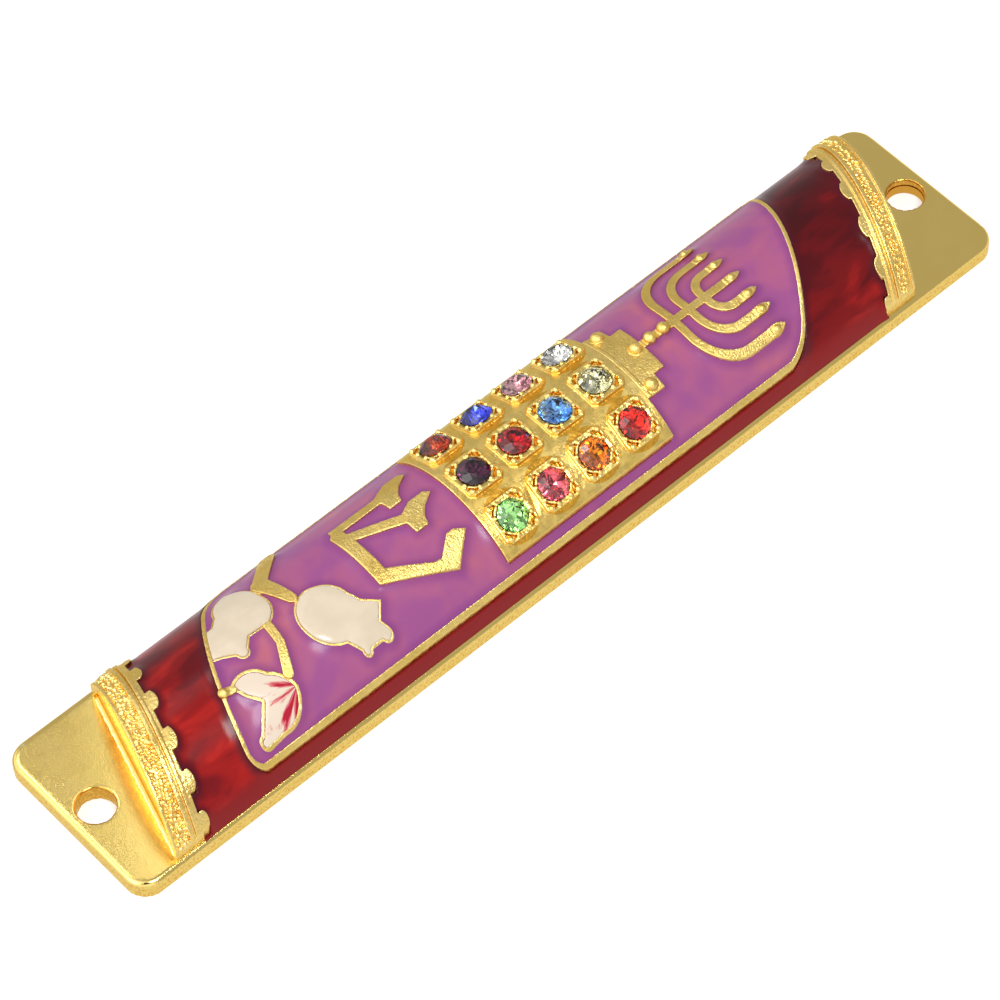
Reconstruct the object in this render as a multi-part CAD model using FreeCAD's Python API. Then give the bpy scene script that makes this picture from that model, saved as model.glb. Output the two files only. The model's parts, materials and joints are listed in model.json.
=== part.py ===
import FreeCAD, Part
import math
import os

# Mezuzah case: a gilded half-barrel casting on a flat back plate, with enamelled
# relief, set stones, a rolled parchment inside and a back cover that slides out.
#
# Frame, in millimetres: the case lies on its back, the wall face is z = 0 and the
# decorated face looks toward +Z. +X points to the end that is uppermost on a doorpost.

Vec = FreeCAD.Vector

# Back plate
case_length = 120.6
case_width = 22.3
plate_thickness = 2.25
plate_corner_radius = 2.6
plate_edge_round = 0.65
screw_hole_radius = 2.1
screw_hole_inset = 3.3

# Half barrel: every layer of the face is a cylinder about one axis along X
enamel_rise = 7.7
enamel_radius = 11.3
enamel_depth = 0.5
fence_proud = 0.2
sign_proud = 0.4
plaque_proud = 0.5
chamber_radius = 9.2
barrel_axis_z = plate_thickness + enamel_rise - enamel_radius
floor_radius = enamel_radius - enamel_depth

# Slanted ends of the barrel: outer edge at x = centre + slant * y, and the angle around
# the barrel at which the end's row of crown tabs starts
bottom_end = {"centre": -52.1, "slant": 0.30, "inward": 1.0, "first_tab": -62.3, "tab_length": 1.0}
top_end = {"centre": 51.65, "slant": 0.355, "inward": -1.0, "first_tab": -67.2, "tab_length": 0.65}
end_wall_setback = 0.45

# Crown bands: distances inward from the barrel's end, and heights above the enamel
band_rim = (0.0, 0.35, 0.55)
band_bed = (0.35, 2.05, 0.30)
band_ridge = (2.05, 2.5, 0.75)
band_groove = (2.5, 2.8, 0.35)
band_second_ridge = (2.8, 3.2, 0.62)
band_plateau = (3.2, 3.7, 0.40)
band_half_width = 10.6
band_tab_half_angle = 5.8
band_tab_corner = 0.4
band_tab_count = 6
band_tab_step = 23.2

# Enamelled panel and the border around it
panel_half_width = 9.6
border_width = 0.45

# Breastplate with its four by three stones
plaque_x = (-9.05, 14.2)
plaque_half_width = 8.6
stone_columns = 4
stone_rows = 3
stone_first_x = -5.87
stone_pitch_x = 5.68
stone_row_angle = 29.9
stone_radius = 1.75
stone_table_radius = 0.9
stone_girdle = 0.14
stone_crown_height = 0.72
stone_pavilion_depth = 1.1
girdle_above_enamel = 0.8
setting_length = 4.6
setting_width = 4.75
setting_corner_cut = 0.5
setting_wall = 0.32
setting_proud = 0.22
setting_depth = 0.35
cup_wall = 0.3
cup_below_girdle = 0.12
bead_count = 8
bead_radius = 0.27
bead_reach = 0.28
corner_bead_radius = 0.34

# Stepped foot and seven-branched lamp
lamp_centre_y = 0.3
foot_first_step = (14.2, 16.6, 5.1)
foot_second_step = (16.6, 18.0, 3.4)
foot_ridge_width = 0.45
foot_ball_radius = 0.78
foot_balls = ((15.45, -4.15), (15.45, 4.15), (17.1, 0.0))
lamp_line_width = 0.98
lamp_stem_start = 18.0
lamp_arm_end_x = 30.4
lamp_arms = ((22.6, 7.1, 4.6), (24.8, 4.75, 3.3), (27.1, 2.6, 1.9))
lamp_knob_x = (19.15, 21.05)
lamp_knob_radius = 0.74
flame_length = 1.75
flame_width = 1.04
flame_ball_radius = 0.46

# Outlines of the fruits and the leaf, and the widths of their raised rims
pomegranate_proud = 0.34
fruit_rim_width = 0.24
leaf_rim_width = 0.34

# Scroll chamber, scroll and sliding back cover
chamber_x = (-47.0, 46.0)
chamber_half_width = 7.2
cover_thickness = 1.2
cover_half_width_back = 7.5
cover_half_width_front = 8.3
cover_clearance = 0.1
channel_start_x = -49.0
cover_end_x = 60.2
thumb_notch_x = 46.0
thumb_notch_radius = 5.0
thumb_notch_depth = 0.5
scroll_length = 70.0
parchment_thickness = 0.25
scroll_half_pitch = 0.15
scroll_core_radius = 0.6
scroll_half_turns = 15
scroll_gap = 0.1

# Helper sizes
tall = 30.0
overlap = 0.4


# ---------------------------------------------------------------- basic shapes
def via(x, y):
    """Marks a point that an arc passes through."""
    return (x, y, True)


def flat_face(points):
    """Closed face at z = 0 from corners, with arcs where a via point stands between two."""
    route = list(points) + [points[0]]
    edges = []
    here = Vec(route[0][0], route[0][1], 0)
    index = 1
    while index < len(route):
        if len(route[index]) == 3:
            middle = Vec(route[index][0], route[index][1], 0)
            there = Vec(route[index + 1][0], route[index + 1][1], 0)
            edges.append(Part.Arc(here, middle, there).toShape())
            index += 2
        else:
            there = Vec(route[index][0], route[index][1], 0)
            edges.append(Part.makeLine(here, there))
            index += 1
        here = there
    return Part.Face(Part.Wire(edges))


def rectangle(x0, x1, y0, y1):
    return flat_face([(x0, y0), (x1, y0), (x1, y1), (x0, y1)])


def block(x0, x1, y0, y1, z0, z1):
    return Part.makeBox(x1 - x0, y1 - y0, z1 - z0, Vec(x0, y0, z0))


def joined(shapes):
    if len(shapes) == 1:
        return shapes[0]
    return shapes[0].multiFuse(shapes[1:]).removeSplitter()


def barrel(radius):
    start = Vec(-case_length, 0, barrel_axis_z)
    return Part.makeCylinder(radius, 2 * case_length, start, Vec(1, 0, 0))


def layer(face, proud, base_radius=floor_radius):
    """Raises a plan outline between the barrel's floor and a surface above the enamel."""
    column = face.extrude(Vec(0, 0, tall))
    column.translate(Vec(0, 0, plate_thickness))
    return column.common(barrel(enamel_radius + proud)).cut(barrel(base_radius))


def grown(face, distance):
    """The face with its outline moved outward by a distance, or inward if it is negative."""
    return Part.Face(face.OuterWire.makeOffset2D(distance))


def bead(x, y, surface_radius, radius):
    """A ball half sunk in the surface of the given barrel radius."""
    z = barrel_axis_z + math.sqrt(surface_radius ** 2 - y ** 2)
    return Part.makeSphere(radius, Vec(x, y, z))


def stroke(start, end, width):
    """A straight bar of the given width with square ends."""
    dx = end[0] - start[0]
    dy = end[1] - start[1]
    length = math.hypot(dx, dy)
    nx = -dy / length * width / 2
    ny = dx / length * width / 2
    return flat_face([(start[0] - nx, start[1] - ny), (end[0] - nx, end[1] - ny),
                      (end[0] + nx, end[1] + ny), (start[0] + nx, start[1] + ny)])


def tapered(start, start_radius, end, end_radius):
    """A round-ended bar whose width changes from one end to the other."""
    dx = end[0] - start[0]
    dy = end[1] - start[1]
    length = math.hypot(dx, dy)
    nx = -dy / length
    ny = dx / length
    corners = [(start[0] + nx * start_radius, start[1] + ny * start_radius),
               via(start[0] - dx / length * start_radius, start[1] - dy / length * start_radius),
               (start[0] - nx * start_radius, start[1] - ny * start_radius),
               (end[0] - nx * end_radius, end[1] - ny * end_radius),
               via(end[0] + dx / length * end_radius, end[1] + dy / length * end_radius),
               (end[0] + nx * end_radius, end[1] + ny * end_radius)]
    return flat_face(corners)


# ---------------------------------------------------------------- slanted ends
def end_x(end, inward, y):
    return end["centre"] + end["slant"] * y + end["inward"] * inward


def end_strip(end, start, stop):
    """Parallelogram that runs across the barrel along one slanted end."""
    half = case_width
    return flat_face([(end_x(end, start, -half), -half), (end_x(end, stop, -half), -half),
                      (end_x(end, stop, half), half), (end_x(end, start, half), half)])


def band_tab(end, angle):
    """One tab of the crown, spaced by its angle around the barrel."""
    low = enamel_radius * math.sin(math.radians(angle - band_tab_half_angle))
    high = enamel_radius * math.sin(math.radians(angle + band_tab_half_angle))
    root = band_plateau[1] - overlap
    tip = band_plateau[1] + end["tab_length"]
    shoulder = tip - band_tab_corner
    return flat_face([(end_x(end, root, low), low), (end_x(end, shoulder, low), low),
                      via(end_x(end, tip, (low + high) / 2), (low + high) / 2),
                      (end_x(end, shoulder, high), high), (end_x(end, root, high), high)])


def crown_band(end):
    strips = []
    for start, stop, proud in (band_rim, band_bed, band_ridge, band_groove, band_second_ridge, band_plateau):
        strips.append(layer(end_strip(end, start, stop), proud))
    for number in range(band_tab_count):
        angle = end["first_tab"] + number * band_tab_step
        strips.append(layer(band_tab(end, angle), band_plateau[2]))
    width_limit = block(-case_length, case_length, -band_half_width, band_half_width, 0, tall)
    return joined(strips).common(width_limit)


def between_ends(inset):
    """Plan of the barrel between its two slanted ends, each moved inward by the inset."""
    half = case_width
    return flat_face([(end_x(bottom_end, inset, -half), -half), (end_x(top_end, inset, -half), -half),
                      (end_x(top_end, inset, half), half), (end_x(bottom_end, inset, half), half)])


# ---------------------------------------------------------------- front casting
def back_plate():
    x = case_length / 2
    y = case_width / 2
    plate = block(-x, x, -y, y, 0, plate_thickness)
    corners = [edge for edge in plate.Edges if abs(edge.BoundBox.ZLength - plate_thickness) < 0.01]
    plate = plate.makeFillet(plate_corner_radius, corners)
    rim = [edge for edge in plate.Edges if edge.BoundBox.ZMin > plate_thickness - 0.01]
    return plate.makeFillet(plate_edge_round, rim)


def cover_section(x, grow):
    """Dovetail section of the cover, widest on its inner side."""
    back = cover_half_width_back + grow
    front = cover_half_width_front + grow
    top = cover_thickness + grow
    low = -grow
    corners = [Vec(x, -back, low), Vec(x, back, low), Vec(x, front, top), Vec(x, -front, top)]
    return Part.Face(Part.makePolygon(corners + corners[:1]))


def scroll_chamber():
    floor_z = cover_thickness
    opening = block(chamber_x[0], chamber_x[1], -chamber_half_width, chamber_half_width, floor_z, tall)
    return opening.common(barrel(chamber_radius))


def screw_hole(side):
    x = side * (case_length / 2 - screw_hole_inset)
    return Part.makeCylinder(screw_hole_radius, 2 * plate_thickness, Vec(x, 0, -1))


def front_casting():
    body = between_ends(end_wall_setback).extrude(Vec(0, 0, tall))
    body.translate(Vec(0, 0, plate_thickness - overlap))
    body = body.common(barrel(floor_radius))
    casting = joined([back_plate(), body])
    channel_length = case_length / 2 - channel_start_x + 1.0
    channel = cover_section(channel_start_x, cover_clearance).extrude(Vec(channel_length, 0, 0))
    casting = casting.cut(channel).cut(scroll_chamber())
    return casting.cut(screw_hole(-1)).cut(screw_hole(1))


# ---------------------------------------------------------------- panel
def panel_face():
    """Middle line of the border: long straight sides and leaning, bowed ends."""
    w = panel_half_width
    return flat_face([(-42.2, -w), (30.4, -w), via(32.5, -8.85), (34.4, -7.1), via(39.1, 0.3), (42.2, 8.7),
                      via(41.95, 9.35), (41.3, w), (-31.8, w), via(-34.4, 8.75), (-36.4, 7.2),
                      via(-40.8, 0.0), (-43.5, -8.1), via(-43.2, -9.15)])


def panel_border():
    """Raised line around the panel, with the knob from which the leaf grows."""
    outer = grown(panel_face(), border_width / 2)
    inner = grown(panel_face(), -border_width / 2)
    arm = tapered((-41.9, -2.7), 0.5, (-40.8, -3.0), 0.4)
    ball = bead(-41.8, -2.75, enamel_radius + fence_proud, 0.55).cut(barrel(floor_radius))
    return joined([layer(outer.cut(inner), fence_proud), layer(arm, sign_proud), ball])


def inside_border(solid, border):
    """The part of a solid that lies within the panel, clear of the border and its knob."""
    field = layer(grown(panel_face(), -border_width / 2), sign_proud + 1)
    return solid.common(field).cut(border)


# ---------------------------------------------------------------- breastplate and stones
def stone_place(row, column, above_enamel):
    """Placement with z along the barrel's normal at one stone."""
    angle = (row - 1) * stone_row_angle
    radius = enamel_radius + above_enamel
    x = stone_first_x + column * stone_pitch_x
    y = radius * math.sin(math.radians(angle))
    z = barrel_axis_z + radius * math.cos(math.radians(angle))
    return FreeCAD.Placement(Vec(x, y, z), FreeCAD.Rotation(Vec(1, 0, 0), -angle))


def polygon_ring(radius, z, sides):
    corners = []
    for step in range(sides + 1):
        turn = 2 * math.pi * step / sides
        corners.append(Vec(radius * math.cos(turn), radius * math.sin(turn), z))
    return Part.makePolygon(corners)


def stone(row, column):
    """Faceted chaton: flat table, crown, thin girdle and a pointed pavilion."""
    sides = 16
    girdle_top = stone_girdle / 2
    culet_radius = 0.12
    crown = Part.makeLoft([polygon_ring(stone_radius, girdle_top, sides),
                           polygon_ring(stone_table_radius, girdle_top + stone_crown_height, sides)],
                          True, True)
    girdle = Part.makeLoft([polygon_ring(stone_radius, -girdle_top, sides),
                            polygon_ring(stone_radius, girdle_top, sides)], True, True)
    pavilion = Part.makeLoft([polygon_ring(culet_radius, -stone_pavilion_depth, sides),
                              polygon_ring(stone_radius, -girdle_top, sides)], True, True)
    gem = joined([crown, girdle, pavilion])
    gem.Placement = stone_place(row, column, girdle_above_enamel)
    return gem


def cut_corner_face(length, width, corner):
    x = length / 2
    y = width / 2
    return flat_face([(-x + corner, -y), (x - corner, -y), (x, -y + corner), (x, y - corner),
                      (x - corner, y), (-x + corner, y), (-x, y - corner), (-x, -y + corner)])


def setting_opening():
    return cut_corner_face(setting_length - 2 * setting_wall, setting_width - 2 * setting_wall,
                           setting_corner_cut * 0.8)


def setting_hollow(row, column):
    """The sunk square around one stone, inside its frame."""
    hollow = setting_opening().extrude(Vec(0, 0, 1.0))
    hollow.translate(Vec(0, 0, plaque_proud - girdle_above_enamel - setting_depth))
    hollow.Placement = stone_place(row, column, girdle_above_enamel).multiply(hollow.Placement)
    return hollow


def setting(row, column):
    """Raised frame, cup and beads around one stone."""
    plaque_level = plaque_proud - girdle_above_enamel
    sunk = plaque_level - 0.55
    inner = setting_opening()
    outer = cut_corner_face(setting_length, setting_width, setting_corner_cut)
    frame = outer.cut(inner).extrude(Vec(0, 0, plaque_level + setting_proud - sunk))
    frame.translate(Vec(0, 0, sunk))
    cup = Part.makeCylinder(stone_radius + cup_wall, -cup_below_girdle - sunk, Vec(0, 0, sunk))
    pieces = [frame, cup]
    for step in range(bead_count):
        turn = 2 * math.pi * (step + 0.5) / bead_count
        reach = stone_radius + bead_reach
        centre = Vec(reach * math.cos(turn), reach * math.sin(turn), -cup_below_girdle)
        pieces.append(Part.makeSphere(bead_radius, centre))
    for side_x in (-1, 1):
        for side_y in (-1, 1):
            corner = Vec(side_x * (setting_length / 2 - setting_corner_cut),
                         side_y * (setting_width / 2 - setting_corner_cut), plaque_level + setting_proud)
            pieces.append(Part.makeSphere(corner_bead_radius, corner))
    solid = joined(pieces)
    solid.Placement = stone_place(row, column, girdle_above_enamel)
    return solid


def stone_seat(row, column):
    """Round pocket below the girdle, wider than the pavilion."""
    seat = Part.makeCylinder(stone_radius, stone_pavilion_depth, Vec(0, 0, -stone_pavilion_depth))
    seat.Placement = stone_place(row, column, girdle_above_enamel)
    return seat


def breastplate_face():
    return rectangle(plaque_x[0], plaque_x[1], -plaque_half_width, plaque_half_width)


def breastplate(stones):
    places = [(row, column) for row in range(stone_rows) for column in range(stone_columns)]
    settings = [setting(row, column) for row, column in places]
    sheet = layer(breastplate_face(), plaque_proud)
    for row, column in places:
        sheet = sheet.cut(setting_hollow(row, column))
    plaque = joined([sheet] + settings)
    seats = [stone_seat(row, column) for row, column in places]
    plaque = plaque.cut(barrel(floor_radius))
    for tool in seats + stones:
        plaque = plaque.cut(tool)
    return plaque


# ---------------------------------------------------------------- foot and lamp
def lamp_rectangle(x0, x1, half_width):
    return rectangle(x0, x1, lamp_centre_y - half_width, lamp_centre_y + half_width)


def stepped_foot():
    x0, x1, half = foot_first_step
    first = layer(lamp_rectangle(x0, x1, half), sign_proud)
    second = layer(lamp_rectangle(*foot_second_step), sign_proud)
    ridge = layer(lamp_rectangle(x0, x0 + foot_ridge_width, half), plaque_proud)
    balls = []
    for x, across in foot_balls:
        ball = bead(x, lamp_centre_y + across, enamel_radius + sign_proud, foot_ball_radius)
        balls.append(ball.cut(barrel(floor_radius)))
    return joined([first, second, ridge] + balls)


def arm_field(start_x, half_span, bend, grow):
    """Plan of the area inside one pair of arms, its edge moved outward by a distance."""
    x = start_x - grow
    low = lamp_centre_y - half_span - grow
    high = lamp_centre_y + half_span + grow
    radius = bend + grow
    slack = radius * (1 - math.sqrt(0.5))
    return flat_face([(lamp_arm_end_x, low), (x + radius, low), via(x + slack, low + slack),
                      (x, low + radius), (x, high - radius), via(x + slack, high - slack),
                      (x + radius, high), (lamp_arm_end_x, high)])


def flame(y):
    """Small ball with a pointed flame in front of it, at the end of an arm."""
    x = lamp_arm_end_x
    half = flame_width / 2
    root = (x - overlap, y - half * 0.8)
    outline = flat_face([root, via(x + flame_ball_radius, y - half), (x + flame_length, y),
                         via(x + flame_ball_radius, y + half), (root[0], y + half * 0.8)])
    ball = bead(x + flame_ball_radius, y, enamel_radius + sign_proud, flame_ball_radius)
    return joined([layer(outline, plaque_proud), ball])


def seven_branch_lamp():
    half_line = lamp_line_width / 2
    pieces = [layer(lamp_rectangle(lamp_stem_start, lamp_arm_end_x, half_line), sign_proud)]
    flames = [flame(lamp_centre_y)]
    for start_x, half_span, bend in lamp_arms:
        arms = arm_field(start_x, half_span, bend, half_line).cut(arm_field(start_x, half_span, bend, -half_line))
        pieces.append(layer(arms, sign_proud))
        flames += [flame(lamp_centre_y - half_span), flame(lamp_centre_y + half_span)]
    knobs = [bead(x, lamp_centre_y, enamel_radius + sign_proud, lamp_knob_radius) for x in lamp_knob_x]
    return joined(pieces + flames + knobs).cut(barrel(floor_radius))


# ---------------------------------------------------------------- letter sign
def letter_head(x, y):
    """Slanted head at the top of one arm of the letter."""
    return flat_face([(x, y + 0.65), (x + 2.0, y + 1.65), (x + 3.9, y + 1.6), (x + 4.5, y + 1.0),
                      (x + 2.9, y), (x + 2.0, y - 1.0), (x + 1.7, y - 1.9), (x + 0.1, y - 1.9)])


def letter_shin():
    """Plain block form of the letter that mezuzah cases customarily carry."""
    shapes = [flat_face([(-21.75, -3.0), (-20.15, -3.0), (-20.1, 4.8), (-20.6, 5.35), (-21.75, 4.3)]),
              stroke((-21.2, 4.75), (-14.7, 4.72), 1.15),
              letter_head(-15.0, 4.65),
              stroke((-20.5, 3.0), (-14.7, 0.62), 1.25),
              letter_head(-15.0, 0.45),
              flat_face([(-21.75, -3.5), (-13.8, -6.75), (-10.6, -4.1), (-11.8, -3.35), (-12.7, -3.4),
                         (-14.7, -5.0), (-15.6, -4.9), (-20.2, -2.4), (-21.75, -2.4)])]
    return joined([layer(shape, sign_proud) for shape in shapes])


# ---------------------------------------------------------------- pomegranates
def left_pomegranate_face():
    """Round fruit that leans on the border, with its crown turned down and outward."""
    return flat_face([(-33.4, 7.7), via(-31.8, 6.3), (-31.25, 3.9), via(-31.6, 1.6), (-33.0, 0.35),
                      (-35.6, 0.5), (-36.5, -0.4), via(-37.4, -1.2), (-38.1, -0.4), (-39.3, 0.35),
                      (-40.8, 0.9), (-40.2, 2.7), (-38.8, 4.5), (-37.6, 4.4), (-36.5, 5.4), via(-35.1, 7.2)])


def right_pomegranate_face():
    """Round fruit with a crown of three points turned toward the near long side."""
    return flat_face([(-31.1, -2.5), via(-30.2, 0.0), (-28.2, 1.05), via(-25.9, 0.1), (-24.8, -2.0),
                      (-24.2, -3.4), (-22.6, -4.6), (-23.95, -6.1), (-23.6, -7.0), via(-24.0, -7.95),
                      (-25.0, -7.6), (-26.4, -7.6), via(-27.2, -7.95), (-27.5, -7.2), (-28.3, -5.95),
                      via(-30.2, -4.9)])


def leaf_face():
    """Chevron of two leaves that meet at the stem."""
    return flat_face([(-40.95, -2.75), via(-39.2, -2.05), (-36.9, -3.5), via(-35.6, -4.8), (-35.1, -6.2),
                      via(-36.4, -8.1), (-39.0, -8.8), (-41.2, -9.0), via(-41.9, -8.55), (-41.3, -7.7),
                      (-39.25, -5.5), (-40.2, -4.4)])


def rim(face, width):
    return layer(face.cut(grown(face, -width)), fence_proud)


def filling(face, width, proud):
    return layer(grown(face, -width), proud)


def pomegranate_sprig():
    """Branch, stem and the raised rims of both fruits."""
    fruits = (left_pomegranate_face(), right_pomegranate_face())
    bars = [tapered((-26.7, 8.8), 0.85, (-30.2, 5.5), 0.8),
            tapered((-30.4, 5.2), 1.0, (-29.5, 1.2), 0.6),
            tapered((-33.4, 0.4), 0.5, (-33.7, -2.0), 0.45),
            tapered((-33.7, -2.0), 0.45, (-35.2, -4.9), 0.55)]
    solid = joined([layer(bar, sign_proud) for bar in bars])
    for fruit in fruits:
        solid = solid.cut(filling(fruit, fruit_rim_width, sign_proud + 1))
    solid = solid.cut(filling(leaf_face(), leaf_rim_width, sign_proud + 1))
    return joined([solid] + [rim(fruit, fruit_rim_width) for fruit in fruits])


def leaf_outline(sprig):
    return rim(leaf_face(), leaf_rim_width).cut(sprig)


# ---------------------------------------------------------------- scroll and cover
def parchment_scroll():
    """Rolled strip: half circles about two centres, so that each turn clears the last."""
    forward = []
    backward = []
    for step in range(scroll_half_turns):
        centre_y = scroll_half_pitch * (step % 2)
        side = 1 if step % 2 == 0 else -1
        inner = scroll_core_radius + step * scroll_half_pitch
        for radius, edges in ((inner, forward), (inner + parchment_thickness, backward)):
            start = Vec(0, centre_y + side * radius, 0)
            middle = Vec(0, centre_y, side * radius)
            end = Vec(0, centre_y - side * radius, 0)
            edges.append(Part.Arc(start, middle, end).toShape())
    last_side = 1 if scroll_half_turns % 2 else -1
    last_centre = scroll_half_pitch * ((scroll_half_turns - 1) % 2)
    last = scroll_core_radius + (scroll_half_turns - 1) * scroll_half_pitch
    cap = Part.makeLine(Vec(0, last_centre - last_side * last, 0),
                        Vec(0, last_centre - last_side * (last + parchment_thickness), 0))
    start_cap = Part.makeLine(Vec(0, scroll_core_radius, 0), Vec(0, scroll_core_radius + parchment_thickness, 0))
    section = Part.Face(Part.Wire(Part.__sortEdges__(forward + [cap] + backward + [start_cap])))
    roll = section.extrude(Vec(scroll_length, 0, 0))
    outer_radius = last + parchment_thickness + scroll_half_pitch
    middle_x = (chamber_x[0] + chamber_x[1]) / 2
    roll.translate(Vec(middle_x - scroll_length / 2, 0, cover_thickness + scroll_gap + outer_radius))
    return roll


def rear_cover():
    """Dovetailed strip; the upper mounting screw passes through it and locks it."""
    start = channel_start_x + cover_clearance
    cover = cover_section(start, 0.0).extrude(Vec(cover_end_x - start, 0, 0))
    notch = Part.makeCylinder(thumb_notch_radius, thumb_notch_depth, Vec(thumb_notch_x, 0, 0))
    return cover.cut(notch).cut(screw_hole(1))


# ---------------------------------------------------------------- enamels
def without(solid, tools):
    for tool in tools:
        solid = solid.cut(tool)
    return solid


def panel_enamel(relief):
    field = layer(grown(panel_face(), -border_width / 2), 0.0)
    return without(field, relief)


def outer_enamel(relief):
    field = layer(between_ends(band_plateau[1]).cut(grown(panel_face(), border_width / 2)), 0.0)
    return without(field, relief)


def save(shape, name):
    shape.exportStep(os.path.join("parts", name + ".step"))
    print(name, "solids", len(shape.Solids), "volume", round(shape.Volume, 2), "valid", shape.isValid())


def main():
    os.makedirs("parts", exist_ok=True)
    band_bottom = crown_band(bottom_end)
    band_top = crown_band(top_end)
    save(front_casting(), "front_casting")
    save(band_bottom, "crown_band_bottom")
    save(band_top, "crown_band_top")
    border = panel_border()
    save(border, "panel_border")

    stones = []
    for row in range(stone_rows):
        for column in range(stone_columns):
            gem = stone(row, column)
            stones.append(gem)
            save(gem, "stone_row%d_column%d" % (row + 1, column + 1))
    save(breastplate(stones), "breastplate")

    foot = stepped_foot()
    lamp = seven_branch_lamp().cut(foot)
    letter = letter_shin()
    sprig = inside_border(pomegranate_sprig(), border)
    leaf = inside_border(leaf_outline(sprig), border)
    save(foot, "lamp_foot")
    save(lamp, "seven_branch_lamp")
    save(letter, "letter_shin")
    save(sprig, "pomegranate_sprig")
    save(leaf, "leaf_outline")

    fills = []
    for name, face, width, proud in (
            ("left_pomegranate_enamel", left_pomegranate_face(), fruit_rim_width, pomegranate_proud),
            ("right_pomegranate_enamel", right_pomegranate_face(), fruit_rim_width, pomegranate_proud),
            ("leaf_enamel", leaf_face(), leaf_rim_width, fence_proud)):
        fill = inside_border(filling(face, width, proud), border)
        fills.append(fill)
        save(fill, name)
    relief = [layer(breastplate_face(), plaque_proud), border, foot, lamp, letter, sprig, leaf] + fills
    save(panel_enamel(relief), "panel_enamel")
    save(outer_enamel([band_bottom, band_top, border]), "outer_enamel")

    save(rear_cover(), "rear_cover")
    save(parchment_scroll(), "parchment_scroll")


main()
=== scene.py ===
import json
import math
import random

import bmesh
import bpy
import numpy as np
from mathutils import Matrix, Vector, noise
from mathutils.bvhtree import BVHTree


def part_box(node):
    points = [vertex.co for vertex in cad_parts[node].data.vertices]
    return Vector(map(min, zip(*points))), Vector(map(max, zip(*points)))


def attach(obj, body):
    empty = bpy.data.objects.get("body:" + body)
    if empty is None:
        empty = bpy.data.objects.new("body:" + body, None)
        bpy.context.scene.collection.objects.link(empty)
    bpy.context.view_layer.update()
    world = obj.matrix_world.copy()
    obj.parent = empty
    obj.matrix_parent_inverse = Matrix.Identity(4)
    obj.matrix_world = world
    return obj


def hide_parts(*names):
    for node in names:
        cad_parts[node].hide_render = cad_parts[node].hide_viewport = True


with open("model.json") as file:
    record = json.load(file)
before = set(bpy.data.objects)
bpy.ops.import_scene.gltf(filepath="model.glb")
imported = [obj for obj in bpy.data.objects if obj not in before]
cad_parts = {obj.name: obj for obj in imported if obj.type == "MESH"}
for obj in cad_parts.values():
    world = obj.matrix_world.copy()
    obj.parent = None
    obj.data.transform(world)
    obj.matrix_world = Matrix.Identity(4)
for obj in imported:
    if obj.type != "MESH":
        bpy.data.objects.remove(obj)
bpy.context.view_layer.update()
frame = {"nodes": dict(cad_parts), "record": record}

# Looks of the mezuzah case. It lies on its back: Z points out of its face, X toward its top end,
# where the lamp is, and Y to its far side. Lengths are in metres, and MM turns millimetres into
# metres. Inside materials lengths are in millimetres, because Shader.place gives millimetres.
MM = 0.001
CASE = "case"

# Camera, as seen from the bottom end and the near side; the angles are in degrees
CAMERA_AZIMUTH = -39.86
CAMERA_ELEVATION = 54.78
CAMERA_ROLL = -2.79
CAMERA_DISTANCE = 0.488
CAMERA_LENS = 167.2
CAMERA_SENSOR = 36.0
CAMERA_SHIFT = (-0.0188, 0.0012)
CAMERA_TARGET = Vector((0.0, 0.0, -0.35 * MM))

# Radiance of the studio surround
WORLD_BRIGHT = 1.25  # above the case, toward the bottom end
WORLD_DIM = 0.5  # above the case, toward the top end
WORLD_BELOW_NEAR = 0.95
WORLD_BELOW_FAR = 0.60
WORLD_CAMERA = 0.05  # around the camera

# Parts of a unit direction between which the surround changes
WORLD_SIDE_RANGE = (-0.25, 0.25)  # along X, above the case
WORLD_FAR_RANGE = (0.55, 0.85)  # along Y, below the case
WORLD_HORIZON_RANGE = (-0.12, 0.10)  # along Z
WORLD_CAMERA_RANGE = (0.955, 0.985)  # toward the camera

# Floor
FLOOR_SIZE = 3.0
FLOOR_DROP = 0.2 * MM  # gap between the floor and the back of the case
FLOOR_GREYS = (0.54, 0.56)
FLOOR_GLOW = 0.55

# Gold
# painted shade: the walls of the screw holes are coloured a darker orange-brown
SCREW_HOLE_PAINTED_SHADE = (0.66, 0.33, 0.05)
# painted shade: darker orange in the sunk places around the stones
SUNK_PAINTED_SHADE = (0.80, 0.42, 0.05)
# painted shade: darker orange in the low parts of the sandy sides
SAND_PIT_SHADE = (0.78, 0.45, 0.10)
# painted highlight: paler gold on raised edges
RAISED_EDGE_HIGHLIGHT = (0.98, 0.84, 0.42)
GRAZING_TINT = (1.0, 0.84, 0.50, 1.0)

# Places inside materials, in millimetres
SCREW_HOLE_X = 57.0
SCREW_HOLE_RADIUS = 2.1
# the painted shade on the screw hole walls fades in over this range
SCREW_HOLE_FADE = (0.22, 0.08)  # the wall's colour fades in between these distances from the hole
LEAF_APEX = (-35.2, -6.2, 5.0)
LEAF_STREAK_REACH = 7.0
# painted shade: the red darkens toward the top end and the far side
RED_SHADE_LENGTHS = (90.0, 16.0)  # each length, along X or along Y, adds 0.5 to the red's darkness
RED_SHADE_RANGE = (-0.53, 0.28)  # darkness of the liveliest red and of the darkest red
RED_LOW_EDGE = (-9.4, -10.0)  # the red lightens again between these places along Y

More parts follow.
